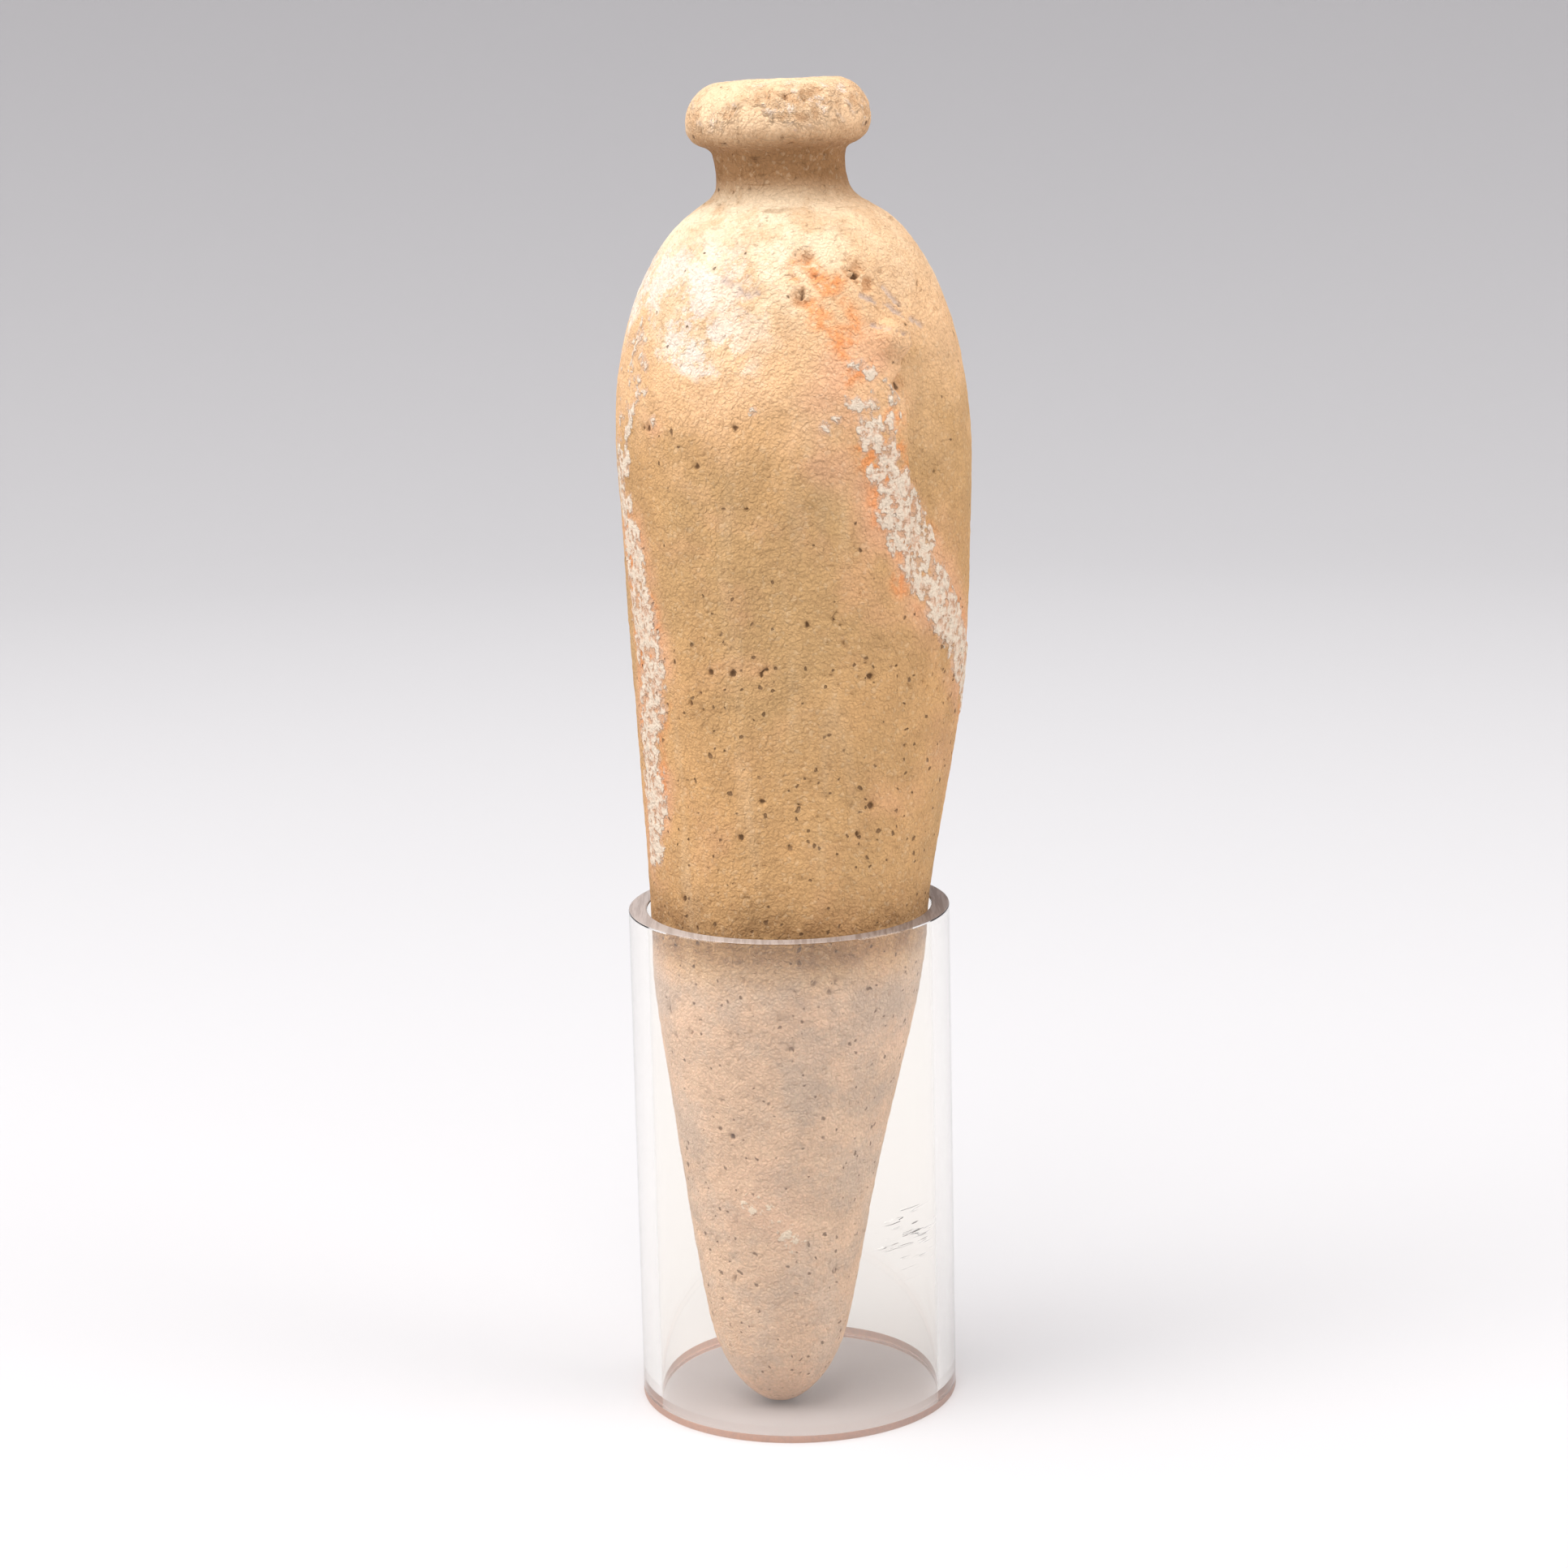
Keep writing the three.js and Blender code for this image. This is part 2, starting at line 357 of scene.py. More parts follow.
def cloud(size, octaves=3, shift=0.0):
    """Noise from about 0 to 1 at every point, in lumps of a size in millimetres."""
    scale = 0.6 / (size * MM)
    offset = Vector((shift, shift * 0.7, -shift))
    values = [noise.fractal(Vector(p) * scale + offset, 0.6, 2.0, octaves) for p in points]
    return 0.5 + 0.5 * np.array(values)


# %% [markdown]
# Two simple masks make all the others: a round spot, and a band along a line of stations. Painting a mask
# keeps it on the mesh in both of its forms. A vertex group is filled in a few dozen steps of weight, which is
# fine enough and much faster than point by point.

# %% Helpers that paint masks
MASK_STEPS = 40


def spot(angle, height, radius):
    """1 at a place on the wall, falling to 0 at a radius in millimetres."""
    away = np.linalg.norm(points - on_wall(angle, height), axis=1) / MM
    return 1 - smooth(away, 0.35 * radius, radius)


def band(stations):
    """A mask along a line of (angle, height, half width) stations on the wall."""
    mask = np.zeros(len(points))
    for (a0, h0, w0), (a1, h1, w1) in zip(stations, stations[1:]):
        start, end = on_wall(a0, h0), on_wall(a1, h1)
        along = end - start
        share = np.clip((points - start) @ along / (along @ along), 0, 1)
        away = np.linalg.norm(points - start - share[:, None] * along, axis=1) / MM
        width = w0 + (w1 - w0) * share
        mask = np.maximum(mask, 1 - smooth(away / width, 0.45, 1.0))
    return mask


def paint(name, mask):
    """Keeps a mask on the flask, both as an attribute and as a vertex group."""
    mask = np.clip(mask, 0, 1)
    layer = flask.data.attributes.new(name, "FLOAT", "POINT")
    layer.data.foreach_set("value", mask.astype(np.float32))
    group = flask.vertex_groups.new(name=name)
    levels = np.round(mask * MASK_STEPS).astype(int)
    for level in range(1, MASK_STEPS + 1):
        chosen = np.flatnonzero(levels == level)
        if len(chosen):
            group.add(chosen.tolist(), level / MASK_STEPS, "REPLACE")
    print(f"painted {name} on {np.count_nonzero(mask > 0.5)} points")


# %% [markdown]
# White lime from the soil has dried on the clay in two long streaks, one down each side. It lies in rough
# clumps, so the mask is a broad band multiplied by cloudy noise that is cut off sharply. There are a few stray
# spots of it on the shoulder and a thin crust on the toe.

# %% Paint the lime
RIGHT_STREAK = [
    (22, 197, 4), (27, 191, 5.5), (27, 186, 5), (31, 179, 4), (36, 172, 6),
    (43, 166, 6), (48, 161, 5.5), (55, 155, 5), (66, 148, 5), (78, 141, 5), (86, 134, 3),
]
LEFT_STREAK = [
    (-70, 166, 4.5), (-67, 158, 5), (-65, 151, 5.5), (-62, 144, 5.5), (-62, 137, 5.5),
    (-67, 130, 4), (-65, 124, 5), (-64, 116, 4.5), (-68, 108, 4),
]
FAINT_STREAK = [(-60, 204, 5), (-66, 196, 7), (-71, 188, 5), (-75, 178, 4), (-72, 170, 3)]
LIME_SPOTS = [(10, 188, 1.5), (13.5, 189, 1.1), (-51, 188.5, 1.2), (-13, 191, 0.9), (6, 238, 1.2)]

clumps = cloud(2.6, 4)
crumbs = cloud(1.1, 3, shift=7)
right_lime = band(RIGHT_STREAK)
left_lime = band(LEFT_STREAK)
faint_lime = band(FAINT_STREAK) * 0.75
envelope = np.maximum.reduce([right_lime, left_lime, faint_lime])
envelope *= 0.62 + 0.38 * smooth(-heights, -194, -172)
dense = 0.42 * smooth(-heights, -194, -172)
roughly = (clumps - 0.5) * 1.3 + (crumbs - 0.5) * 0.9 + dense
lime = smooth(envelope * 0.55 + roughly, 0.34, 0.58) * (envelope > 0)
for angle, height, radius in LIME_SPOTS:
    lime = np.maximum(lime, spot(angle, height, radius) * smooth(crumbs, 0.3, 0.5))
lime = np.maximum(lime, band([(-24, 44, 2.5), (-8, 37, 3.5)]) * 0.42)
paint("lime", lime * outside)

# %% [markdown]
# Round each streak the clay has turned pink and orange. That takes the same lines of stations, but wider and
# with softer noise. A stronger orange stain runs down from a chip on the shoulder.

# %% Paint the pink and orange round the lime
def widen(stations, extra):
    """The same line of stations, but wider."""
    return [(a, h, w + extra) for a, h, w in stations]


halo_noise = cloud(9, 3, shift=3)
blush = np.maximum(band(widen(RIGHT_STREAK, 6)), band(widen(LEFT_STREAK, 5)))
blush = np.maximum(blush, band([(24, 200, 8), (18, 190, 12), (12, 184, 9)]) * 0.8)
blush = np.maximum(blush, spot(-51, 188.5, 4))
paint("blush", blush * smooth(halo_noise, 0.2, 0.6) * outside)
orange = np.maximum(band([(5, 215, 4), (12, 209, 6), (19, 204, 5.5), (19, 201, 3)]), spot(19, 212, 3))
orange = np.maximum(orange, spot(27, 175, 3.5) * 0.8)
orange = np.maximum(orange, spot(36, 159, 3.5) * 0.8)
edges = np.maximum(band(widen(RIGHT_STREAK, 2.5)), band(widen(LEFT_STREAK, 2.5)))
orange = np.maximum(orange, edges * 0.9 * smooth(cloud(7, 3, shift=23), 0.45, 0.62))
paint("orange", orange * smooth(cloud(4, 3, shift=5), 0.3, 0.6) * outside)

# %% [markdown]
# The next masks are for damage: open pores where grit fell out, chips on the shoulder, the eaten rim of the
# lip and a few shallow scratches. Each is placed one by one and then broken up with noise.

# %% Paint the pores, chips, worn lip and scratches
PORES = [
    (-54, 187, 1.0), (-57, 187, 0.8), (-19, 188, 0.9), (-33, 181, 1.0), (-16, 174, 0.8), (55, 178, 0.7),
    (3, 153, 0.8), (-23, 144, 1.1), (-31, 144, 0.9), (-13, 144, 0.8), (-11, 145, 0.7), (-36, 140, 0.8),
    (-40, 138, 0.7), (-35, 137, 0.7), (24, 143, 1.0), (-14, 121, 1.0), (9, 127, 0.8), (39, 129, 0.9),
    (25, 119, 1.1), (20, 114, 0.8), (-22, 114, 0.9), (-48, 101, 1.0), (-47, 236, 0.7), (-44, 236, 0.6),
    (150, 190, 1.0), (171, 176, 0.8), (-140, 163, 0.9), (128, 150, 0.8), (-165, 142, 1.0), (105, 128, 0.8),
    (28, 213.8, 0.75), (5, 210.5, 0.7), (39, 194.5, 1.0), (178, 120, 0.9), (-120, 118, 0.8), (145, 105, 0.9),
    (-150, 200, 0.8), (12, 29, 1.0), (-30, 57, 0.8),
]
CHIPS = [(27, 214.5, 3.2), (31, 212, 2.2), (7, 217, 2.4), (4, 210, 2.6), (38, 194.5, 2.8), (-160, 208, 2.6)]

pit = np.zeros(len(points))
for angle, height, radius in PORES:
    pit = np.maximum(pit, spot(angle, height, radius) * smooth(crumbs, 0.15, 0.45))
fine_pits = smooth(cloud(1.1, 2, shift=11), 0.76, 0.86) * smooth(cloud(30, 2, shift=13), 0.4, 0.6)
paint("pit", np.maximum(pit, fine_pits * 0.6) * outside)

chip = np.zeros(len(points))
for angle, height, radius in CHIPS:
    chip = np.maximum(chip, spot(angle, height, radius) * smooth(crumbs, 0.25, 0.6))
paint("chip", chip * outside)

lip_band = smooth(heights, 237.5, 240.5) * (1 - smooth(heights, 246.2, 247.6))
lip_front = smooth(np.cos(np.radians(angles - 5)), -0.1, 0.9)
worn = lip_band * smooth(cloud(6, 4, shift=17), 0.38, 0.62) * (0.45 + 0.55 * lip_front)
worn = np.maximum(worn, spot(7, 242.3, 4.5) * smooth(crumbs, 0.2, 0.6))
worn = np.maximum(worn, spot(17, 242, 4))
paint("worn", worn * outside)

SCRATCHES = [
    [(27.6, 210, 0.7), (40, 207.5, 0.9), (54.5, 204, 0.6)],
    [(37, 212, 0.6), (45.5, 207, 0.8)],
    [(-27, 213, 0.8), (-18, 210.5, 1.0), (-13, 211, 0.7)],
    [(30, 205, 0.5), (44, 200.5, 0.6)],
]
scratch = np.maximum.reduce([band(line) for line in SCRATCHES])
paint("scratch", scratch * smooth(crumbs, 0.35, 0.55) * outside)

# %% [markdown]
# The last masks are marks of making. A thumb or a board pressed the right side of the body flat before it was
# fired, which left a soft upright edge, and a small wart of clay sits at the top of that edge.

# %% Paint the press mark, its edge and the wart
paint("outer", outside)
press_edge = smooth(angles, 39, 41) * (1 - smooth(angles, 50, 74))
press_mark = press_edge * smooth(heights, 150, 172) * (1 - smooth(heights, 196, 206))
ridge = np.exp(-(((angles - 36) / 5) ** 2)) * smooth(heights, 150, 172) * (1 - smooth(heights, 198, 208))
paint("press", press_mark * outside)
paint("ridge", ridge * outside)
paint("knob", spot(37, 202, 4.2) * outside)

# %% [markdown]
# Now the masks shape the clay. Each Displace modifier moves points along their normals, here by a few tenths
# of a millimetre. Wear takes clay away, so nearly all of it goes inward. The wart and the lime stand proud.

# %% Press the wear into the clay
def displace(group, depth, texture=None, middle=0.0):
    """Moves the points of a group along their normals by depth metres, through a texture if one is given."""
    settings = {"strength": depth, "mid_level": middle, "vertex_group": group, "direction": "NORMAL"}
    if texture:
        settings["texture"] = texture
        settings["texture_coords"] = "LOCAL"
    apply_modifier(flask, "DISPLACE", **settings)


def cloud_texture(name, size, depth=3):
    """A cloud texture whose lumps have a size in millimetres."""
    texture = bpy.data.textures.new(name, "CLOUDS")
    texture.noise_scale = size * MM
    texture.noise_depth = depth
    return texture


displace("outer", -0.40 * MM, cloud_texture("hand marks", 26, 1), middle=0.25)
displace("outer", -0.22 * MM, cloud_texture("lumps", 5, 3), middle=0.35)
displace("outer", -0.22 * MM, cloud_texture("grit", 1.5, 2), middle=0.4)
displace("press", -1.4 * MM)
displace("ridge", 0.35 * MM)
displace("knob", 2.6 * MM)
displace("pit", -0.7 * MM)
displace("chip", -1.1 * MM)
displace("scratch", -0.4 * MM)
displace("worn", -2.4 * MM, cloud_texture("crumbled lip", 1.9, 4), middle=0.38)
displace("lime", 0.18 * MM)
displace("lime", 0.45 * MM, cloud_texture("lime crumbs", 1.2, 2), middle=0.35)
print("flask's highest point:", round(max(v.co.z for v in flask.data.vertices) / MM, 2), "mm")

# %% [markdown]
# Half a million small triangles are more than the piece needs, because most of the wall is smooth. Decimate
# merges them where the surface is nearly flat and keeps them where the wear is. The masks are carried along.

# %% Thin the mesh where it is smooth
FLASK_TRIANGLES = 186000

flask.data.calc_loop_triangles()
share = FLASK_TRIANGLES / len(flask.data.loop_triangles)
apply_modifier(flask, "DECIMATE", ratio=share, use_collapse_triangulate=True)
make_active(flask)
bpy.ops.object.shade_smooth()
flask.data.calc_loop_triangles()
print("flask:", len(flask.data.loop_triangles), "triangles")

# %% [markdown]
# The clay's colour is built up like paint, from wide to fine. These are the paints, from the buff of the body
# to the white of the slip and the lime. All of them are plain colours with no light or shade in them.

# %% Name the colours of the clay
BUFF = (0.64, 0.365, 0.157, 1)
GREEN_BUFF = (0.57, 0.345, 0.153, 1)
PINK_BUFF = (0.70, 0.385, 0.195, 1)
CREAM = (0.93, 0.745, 0.52, 1)
PEACH = (0.88, 0.545, 0.30, 1)
WHITE_SLIP = (0.93, 0.78, 0.66, 1)
DEEP_BROWN = (0.26, 0.13, 0.05, 1)
NECK_BROWN_AND_SHADE = (0.32, 0.155, 0.055, 1)
BLUSH_PINK = (0.80, 0.43, 0.25, 1)
CHIP_BROWN = (0.64, 0.35, 0.17, 1)
ORANGE = (0.86, 0.30, 0.09, 1)
LIME_WHITE = (0.78, 0.66, 0.52, 1)
LIME_PINK = (0.70, 0.46, 0.32, 1)
PORE_SHADE = (0.13, 0.065, 0.03, 1)
PALE_GRIT = (0.86, 0.68, 0.46, 1)
TOE_GREY = (0.48, 0.39, 0.32, 1)
SCRATCH_GREY = (0.55, 0.46, 0.42, 1)
TOE_PINK = (0.76, 0.55, 0.43, 1)

# %% [markdown]
# Sandy clay is made of grains. A Voronoi pattern divides space into small cells, one for each grain: how far
# a point is from the middle of its cell gives the grain's round relief, and the cell's own random colour
# serves as a dice that picks the few pale and dark grains. The pattern's coordinates are shaken a little
# first, so that no grain is perfectly round. The pores use the same trick with wider cells.

# %% Start the terracotta material: grains and pores
GRAIN_SIZE = 0.6 * MM
SHAKE = 1.1 * MM
SHAKE_SCALE = 900.0
LOW_PORES = (170 * MM, 140 * MM)


def holes(tree, place, spacing, size, extra):
    """Small round holes, scattered; extra raises how many cells of the pattern hold one."""
    cells = add_node(tree, "TexVoronoi", {"Vector": place, "Scale": 1 / spacing})
    dice = add_node(tree, "SeparateColor", {"Color": cells.outputs["Color"]}).outputs["Red"]
    is_open = ramp(tree, maths(tree, "ADD", dice, extra), 0.93, 0.95)
    near = ramp(tree, cells.outputs["Distance"], size, 0.5 * size)
    return maths(tree, "MULTIPLY", is_open, near)


terracotta, tree, output = new_material("weathered terracotta")
place = add_node(tree, "TexCoord").outputs["Object"]
height = add_node(tree, "SeparateXYZ", {0: place}).outputs["Z"]
across = add_node(tree, "SeparateXYZ", {0: place}).outputs["X"]

wobble = add_node(tree, "TexNoise", {"Vector": place, "Scale": SHAKE_SCALE, "Detail": 1.0}).outputs["Color"]
wobble = add_node(tree, "VectorMath", {0: wobble, "Scale": SHAKE}, operation="SCALE").outputs["Vector"]
shaken = add_node(tree, "VectorMath", {0: place, 1: wobble}, operation="ADD").outputs["Vector"]
grains = add_node(tree, "TexVoronoi", {"Vector": shaken, "Scale": 1 / GRAIN_SIZE})
grain_edge = grains.outputs["Distance"]
grain_dice = add_node(tree, "SeparateColor", {"Color": grains.outputs["Color"]}).outputs["Red"]

porous = ramp(tree, height, *LOW_PORES, 0.0, 0.33)
wide_pores = holes(tree, shaken, 3 * MM, 0.17, porous)
fine_pores = holes(tree, shaken, 1.8 * MM, 0.2, porous)
pores = maths(tree, "MAXIMUM", wide_pores, fine_pores)

grit = noise_value(tree, place, 0.9 * MM, 3, 0.6)
mottle = noise_value(tree, place, 5 * MM, 5, 0.7)
crumble = noise_value(tree, place, 1.8 * MM, 4, 0.7)
print("grains and pores:", len(tree.nodes), "nodes so far")

# %% [markdown]
# The ground is buff, with wide clouds of greener and pinker clay and faint upright wipe marks. Towards the
# shoulder it turns peach and then cream, and on the left the shoulder carries flecks of white slip.

# %% Colour the body and the shoulder
clouds = noise_value(tree, place, 34 * MM, 3)
colour = mix_colour(tree, ramp(tree, clouds, 0.38, 0.60), GREEN_BUFF, BUFF)
patches = noise_value(tree, place, 13 * MM, 4, 0.62, 0.4)
colour = mix_colour(tree, ramp(tree, patches, 0.50, 0.72, 0, 0.65), colour, PINK_BUFF)

stretched = add_node(tree, "Mapping", {"Vector": place, "Scale": (1, 1, 0.14)}).outputs["Vector"]
wipes = noise_value(tree, stretched, 6 * MM, 3, 0.6)
colour = mix_colour(tree, ramp(tree, wipes, 0.52, 0.75, 0, 0.22), colour, CREAM)
colour = mix_colour(tree, ramp(tree, wipes, 0.46, 0.25, 0, 0.12), colour, DEEP_BROWN)

uneven = maths(tree, "MULTIPLY", maths(tree, "SUBTRACT", patches, 0.5), 0.07)
slip_line = maths(tree, "ADD", height, uneven)
colour = mix_colour(tree, ramp(tree, slip_line, 172 * MM, 200 * MM, 0, 0.85), colour, PEACH)
cream_zone = ramp(tree, slip_line, 200 * MM, 220 * MM)
cream_share = maths(tree, "MULTIPLY", cream_zone, ramp(tree, mottle, 0.32, 0.58, 0.25, 1.0))
cream_share = maths(tree, "MULTIPLY", cream_share, ramp(tree, across, 18 * MM, -4 * MM, 0.35, 1.0))
colour = mix_colour(tree, cream_share, colour, CREAM)
lip_share = ramp(tree, height, 234 * MM, 238 * MM, 0, 0.6)
colour = mix_colour(tree, lip_share, colour, PEACH)

slip_noise = ramp(tree, noise_value(tree, place, 6 * MM, 6, 0.8), 0.46, 0.56)
slip_left = ramp(tree, across, 3 * MM, -17 * MM)
slip_low = ramp(tree, slip_line, 199 * MM, 208 * MM)
slip_high = ramp(tree, height, 222 * MM, 216 * MM)
slip_side = maths(tree, "MULTIPLY", slip_noise, slip_left)
slip_zone = maths(tree, "MULTIPLY", slip_low, slip_high)
slip = maths(tree, "MULTIPLY", slip_side, slip_zone)
colour = mix_colour(tree, maths(tree, "MULTIPLY", slip, 0.85), colour, WHITE_SLIP)
print("body and shoulder:", len(tree.nodes), "nodes so far")

# %% [markdown]
# Stains come next. The painted masks bring the pink and orange round the lime. The neck is painted dark brown,
# partly its own browner clay and partly painted shade under the lip. A band just above the tube's rim is
# painted a darker brown, and the toe is greyer and pinker. Fine level lines round the collar were left by the
# potter's fingers while the wheel turned.

# %% Stain the clay
# painted shade: the pressed flat on the right, which faces away from the light, is painted darker and greener
colour = mix_colour(tree, maths(tree, "MULTIPLY", painted(tree, "press"), 0.45), colour, GREEN_BUFF)
colour = mix_colour(tree, maths(tree, "MULTIPLY", painted(tree, "blush"), 0.7), colour, BLUSH_PINK)
orange_mask = maths(tree, "MULTIPLY", painted(tree, "orange"), ramp(tree, grit, 0.3, 0.55))
colour = mix_colour(tree, maths(tree, "MULTIPLY", orange_mask, 0.85), colour, ORANGE)

# painted shade under the lip, mixed with the neck's own browner clay
neck_low = ramp(tree, height, 223 * MM, 231 * MM)
neck_high = ramp(tree, height, 241 * MM, 234 * MM)
neck_stain_and_shade = maths(tree, "MULTIPLY", neck_low, neck_high)
colour = mix_colour(tree, maths(tree, "MULTIPLY", neck_stain_and_shade, 0.94), colour, NECK_BROWN_AND_SHADE)

ring_place = add_node(tree, "Mapping", {"Vector": place, "Scale": (0.12, 0.12, 1)}).outputs["Vector"]
rings = ramp(tree, noise_value(tree, ring_place, 0.7 * MM, 2, 0.6), 0.60, 0.68)
ring_low = ramp(tree, height, 219 * MM, 224 * MM)
ring_high = ramp(tree, height, 234 * MM, 229 * MM)
rings = maths(tree, "MULTIPLY", rings, maths(tree, "MULTIPLY", ring_low, ring_high))
colour = mix_colour(tree, maths(tree, "MULTIPLY", rings, 0.45), colour, DEEP_BROWN)

# a darker brown band just above the tube's rim
rim_band_noise = ramp(tree, noise_value(tree, place, 4 * MM, 5, 0.75), 0.35, 0.65, 0.35, 1)
rim_band_low = ramp(tree, height, 88 * MM, 92 * MM)
rim_band_high = ramp(tree, height, 108 * MM, 91 * MM)
rim_band_dark = maths(tree, "MULTIPLY", maths(tree, "MULTIPLY", rim_band_low, rim_band_high), rim_band_noise)
colour = mix_colour(tree, maths(tree, "MULTIPLY", rim_band_dark, 1.0), colour, DEEP_BROWN)

toe = ramp(tree, height, 94 * MM, 82 * MM)
colour = mix_colour(tree, maths(tree, "MULTIPLY", toe, 0.62), colour, TOE_PINK)
toe_noise = ramp(tree, noise_value(tree, place, 9 * MM, 5, 0.7), 0.42, 0.62)
toe_share = maths(tree, "MULTIPLY", maths(tree, "MULTIPLY", toe, toe_noise), 0.5)
colour = mix_colour(tree, toe_share, colour, TOE_GREY)
print("stains:", len(tree.nodes), "nodes so far")

# %% [markdown]
# Then come the grains and the damage. Small shade is what makes a surface look rough, so the gaps between the
# grains are painted a little darker, as painted shade. Pores are painted near black, as painted shade inside
# the holes, and the broken rim shows darker clay. The lime lies over all of it: first a thin pink film, then
# the white crust, cut into crumbs by the same noise that shapes its relief.

# %% Add grains, damage and lime
colour = mix_colour(tree, ramp(tree, grain_dice, 0.90, 0.92, 0, 0.14), colour, PALE_GRIT)
colour = mix_colour(tree, ramp(tree, grain_dice, 0.045, 0.035, 0, 0.22), colour, DEEP_BROWN)
shade = ramp(tree, mottle, 0.3, 0.7, 0.88, 1.08)
colour = mix_colour(tree, 1.0, colour, shade, "MULTIPLY")
# painted shade in the gaps between the grains
grain_shade = ramp(tree, grain_edge, 0.15, 0.75, 1.04, 0.91)
colour = mix_colour(tree, 1.0, colour, grain_shade, "MULTIPLY")

worn_tone = ramp(tree, crumble, 0.49, 0.42, 0, 0.6)
colour = mix_colour(tree, maths(tree, "MULTIPLY", painted(tree, "worn"), worn_tone), colour, CHIP_BROWN)
worn_pale = maths(tree, "MULTIPLY", painted(tree, "worn"), ramp(tree, crumble, 0.54, 0.62, 0, 0.6))
colour = mix_colour(tree, worn_pale, colour, WHITE_SLIP)
colour = mix_colour(tree, maths(tree, "MULTIPLY", painted(tree, "chip"), 0.6), colour, CHIP_BROWN)
colour = mix_colour(tree, maths(tree, "MULTIPLY", painted(tree, "scratch"), 0.6), colour, SCRATCH_GREY)
# painted shade inside the pits and pores
colour = mix_colour(tree, ramp(tree, painted(tree, "pit"), 0.3, 0.85, 0, 0.85), colour, PORE_SHADE)
colour = mix_colour(tree, maths(tree, "MULTIPLY", pores, 0.75), colour, PORE_SHADE)

lime_film = ramp(tree, painted(tree, "lime"), 0.02, 0.3, 0, 0.5)
colour = mix_colour(tree, lime_film, colour, LIME_PINK)
lime_grain = maths(tree, "SUBTRACT", maths(tree, "ADD", grit, crumble), 1.0)
lime_field = maths(tree, "ADD", painted(tree, "lime"), maths(tree, "MULTIPLY", lime_grain, 2.3))
lime_near = ramp(tree, painted(tree, "lime"), 0.03, 0.15)
lime_mask = maths(tree, "MULTIPLY", ramp(tree, lime_field, 0.5, 0.8), lime_near)
lime_tone = mix_colour(tree, ramp(tree, grit, 0.40, 0.55), LIME_PINK, LIME_WHITE)
colour = mix_colour(tree, maths(tree, "MULTIPLY", lime_mask, 0.92), colour, lime_tone)
print("grains, damage and lime:", len(tree.nodes), "nodes so far")

# %% [markdown]
# The same patterns now become relief that is too fine for the mesh, through one Bump node. The toe is
# smoother, so there the node works at about half its strength. Fired clay without a glaze has hardly any
# shine.

# %% Roughen the clay and finish its material
GRAIN_RELIEF = 0.8 * MM
CLAY_ROUGHNESS = 0.9
CLAY_SHINE = 0.3

relief = maths(tree, "SUBTRACT", grit, maths(tree, "MULTIPLY", grain_edge, 0.45))
rough_knob = maths(tree, "MULTIPLY", painted(tree, "knob"), 0.5)
rough_zone = maths(tree, "MAXIMUM", painted(tree, "worn"), rough_knob)
broken = maths(tree, "MULTIPLY", rough_zone, crumble)
relief = maths(tree, "ADD", relief, maths(tree, "MULTIPLY", broken, 3.2))
relief = maths(tree, "ADD", relief, maths(tree, "MULTIPLY", lime_mask, 0.35))
relief = maths(tree, "SUBTRACT", relief, maths(tree, "MULTIPLY", pores, 0.6))
depth = ramp(tree, height, 80 * MM, 100 * MM, 0.5, 0.9)
bump = add_node(tree, "Bump", {"Height": relief, "Strength": depth, "Distance": GRAIN_RELIEF})
values = {"Base Color": colour, "Roughness": CLAY_ROUGHNESS, "Specular IOR Level": CLAY_SHINE}
values["Normal"] = bump.outputs["Normal"]
shader = add_node(tree, "BsdfPrincipled", values)
tree.links.new(shader.outputs["BSDF"], output.inputs["Surface"])
flask.data.materials.clear()
flask.data.materials.append(terracotta)
print("terracotta:", len(tree.nodes), "nodes")

# %% [markdown]
# ## The stand
# The stand is a plain length of clear tube, cut square with a saw. A circle is drawn first. Extrude copies
# its edge and Resize draws the copy in to the bore, which leaves a flat ring. The ring is then pushed up to
# the tube's height, so that the wall has its true thickness: clear plastic bends light at both of its faces,
# and a single skin would look like film. The push is made in two steps, because the lowest band of the wall
# gets a material of its own. The four sharp edges are broken with a small bevel, because they catch the
# light.

# %% Model the tube
TUBE_SIDES = 256
EDGE_BREAK = 0.3 * MM
FOOT_BAND = 1.5 * MM

tube_height = tube_high.z
ratio = tube_inside / tube_radius

deselect_all()
bpy.ops.mesh.primitive_circle_add(vertices=TUBE_SIDES, radius=tube_radius, location=tube_axis)
tube = bpy.context.active_object
tube.name = "clear_tube"
bpy.ops.object.mode_set(mode="EDIT")
bpy.ops.mesh.select_all(action="SELECT")
bpy.ops.mesh.extrude_region_move()
bpy.ops.transform.resize(value=(ratio, ratio, 1))
bpy.ops.mesh.select_all(action="SELECT")
bpy.ops.mesh.extrude_region_move(TRANSFORM_OT_translate={"value": (0, 0, FOOT_BAND)})
bpy.ops.mesh.extrude_region_move(TRANSFORM_OT_translate={"value": (0, 0, tube_height - FOOT_BAND)})
bpy.ops.mesh.select_all(action="SELECT")
bpy.ops.mesh.normals_make_consistent(inside=False)
bpy.ops.object.mode_set(mode="OBJECT")
bpy.ops.object.transform_apply(location=True, rotation=True, scale=True)
sharp = math.radians(50)
apply_modifier(tube, "BEVEL", width=EDGE_BREAK, segments=2, limit_method="ANGLE", angle_limit=sharp)
make_active(tube)
bpy.ops.object.shade_smooth_by_angle(angle=math.radians(12))
print("tube:", len(tube.data.polygons), "faces, bore", round(2 * tube_inside / MM, 2), "mm")

# %% [markdown]
# Clear acrylic bends light a little less than window glass. A lamp's light would be stopped by a glass
# shader's shadow, and the toe would stand in the dark, so shadow rays meet a Transparent shader instead.
# Faint hairlines run up the tube where it was drawn, and at one place on the right something has rubbed it.

